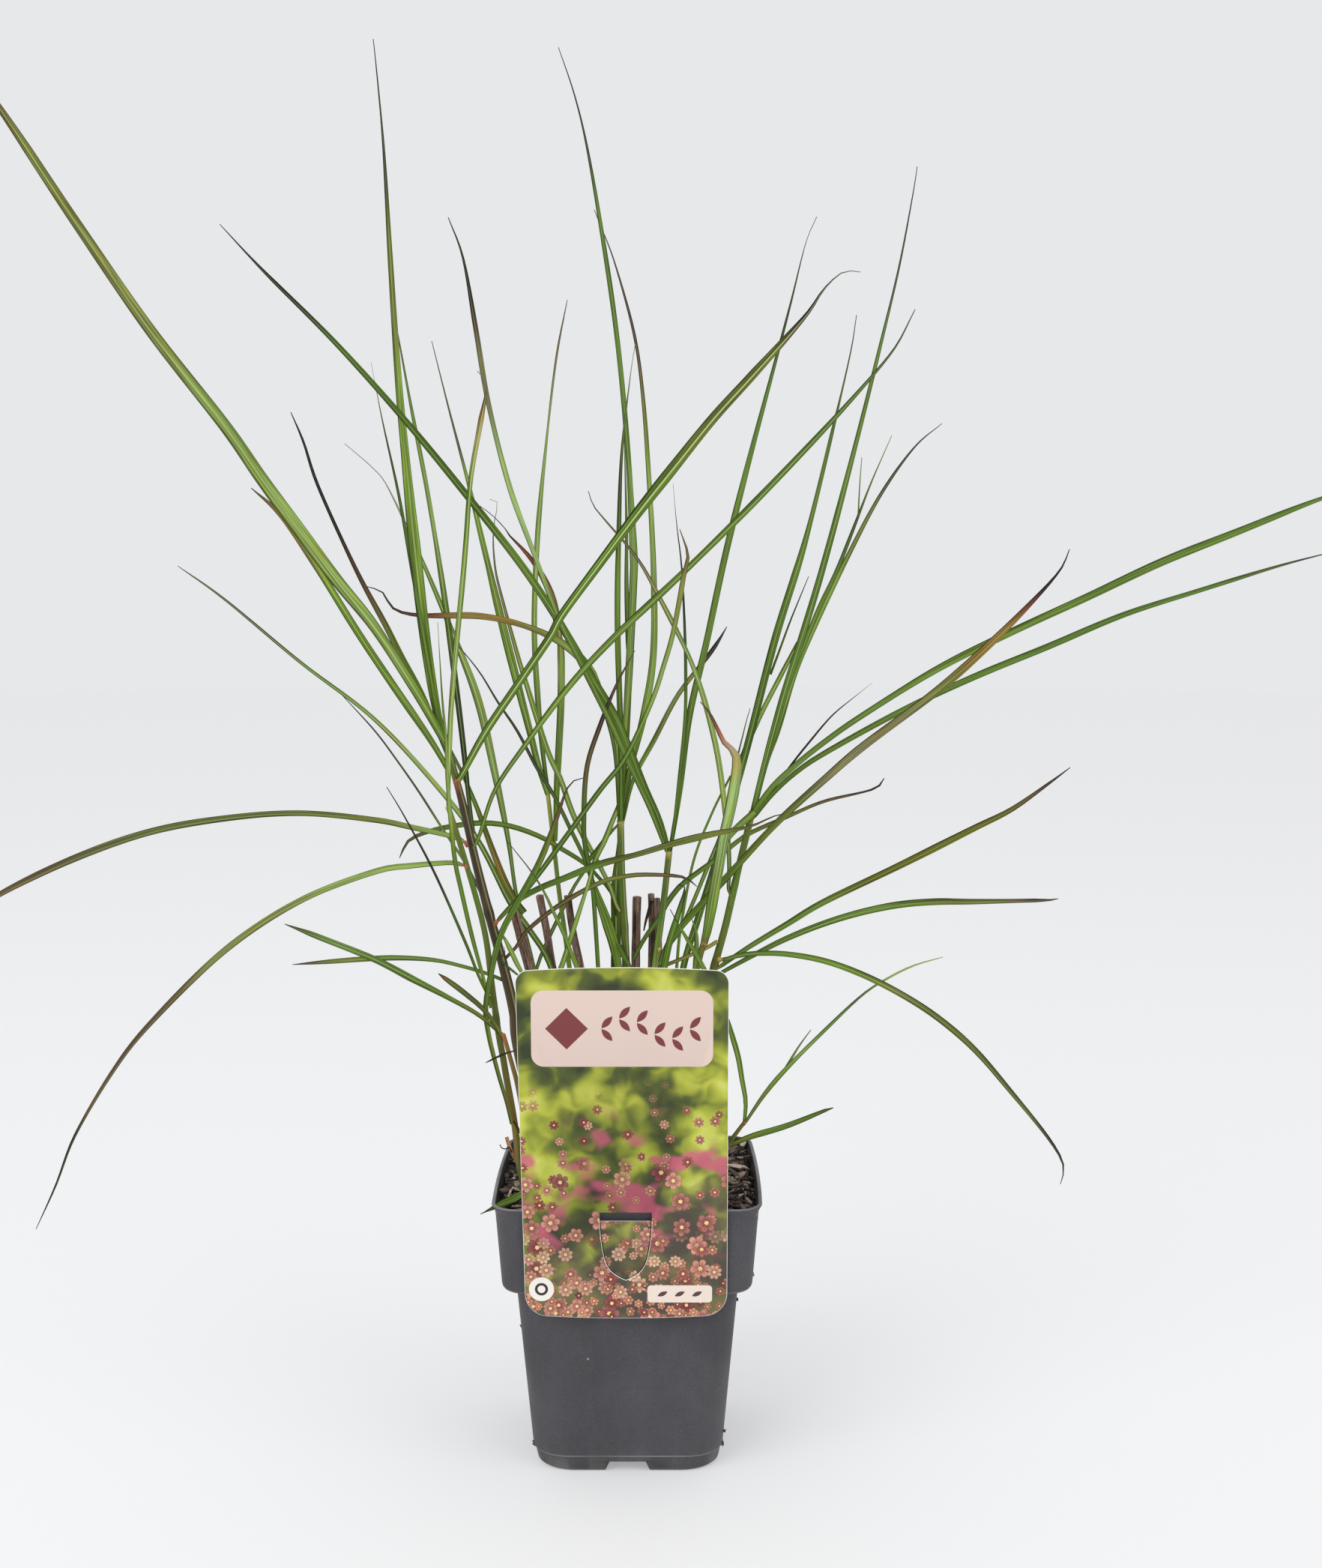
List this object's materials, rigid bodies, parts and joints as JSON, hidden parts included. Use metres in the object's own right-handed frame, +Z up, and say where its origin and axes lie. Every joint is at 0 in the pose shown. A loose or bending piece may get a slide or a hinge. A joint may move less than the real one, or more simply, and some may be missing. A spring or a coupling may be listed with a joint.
{
  "type": "potted miscanthus grass clump",
  "caption": "Young ornamental grass clump with arching blades in a square nursery pot with a hanging plant label.",
  "frame": {"origin": "middle of the pot's foot, on the surface that it stands on", "axes": "+Z up, -Y to the front, where the label hangs, +X to the right seen from the front"},
  "size_m": [0.6172, 0.222, 0.5999],
  "materials": {
    "pot": "matte",
    "soil": "matte",
    "label": "satin",
    "old_cane": "matte",
    "stem_brown": "satin",
    "stem": "satin",
    "leaf": "satin"
  },
  "bodies": {
    "root": {"pot": "pot", "soil": "soil", "label": "label", "stem_1": "stem_brown", "stem_2": "stem", "stem_3": "stem", "stem_4": "stem", "stem_5": "stem", "stem_6": "stem", "stem_7": "stem", "stem_8": "stem", "side_shoot_left": "stem", "side_shoot_right": "stem", "old_cane_1": "old_cane", "old_cane_2": "old_cane", "old_cane_3": "old_cane", "old_cane_4": "old_cane", "leaf_01": "leaf", "leaf_02": "leaf", "leaf_03": "leaf", "leaf_04": "leaf", "leaf_05": "leaf", "leaf_06": "leaf", "leaf_07": "leaf", "leaf_08": "leaf", "leaf_09": "leaf", "leaf_10": "leaf", "leaf_11": "leaf", "leaf_12": "leaf", "leaf_13": "leaf", "leaf_14": "leaf", "leaf_15": "leaf", "leaf_16": "leaf", "leaf_17": "leaf", "leaf_18": "leaf", "leaf_19": "leaf", "leaf_20": "leaf", "leaf_21": "leaf", "leaf_22": "leaf", "leaf_23": "leaf", "leaf_24": "leaf", "leaf_25": "leaf", "leaf_26": "leaf", "leaf_27": "leaf", "leaf_28": "leaf", "leaf_29": "leaf", "leaf_30": "leaf", "leaf_31": "leaf", "leaf_32": "leaf", "leaf_33": "leaf", "leaf_34": "leaf", "leaf_35": "leaf", "leaf_36": "leaf", "leaf_37": "leaf", "leaf_38": "leaf", "leaf_39": "leaf", "leaf_40": "leaf", "leaf_41": "leaf", "leaf_42": "leaf"}
  },
  "joints": []
}
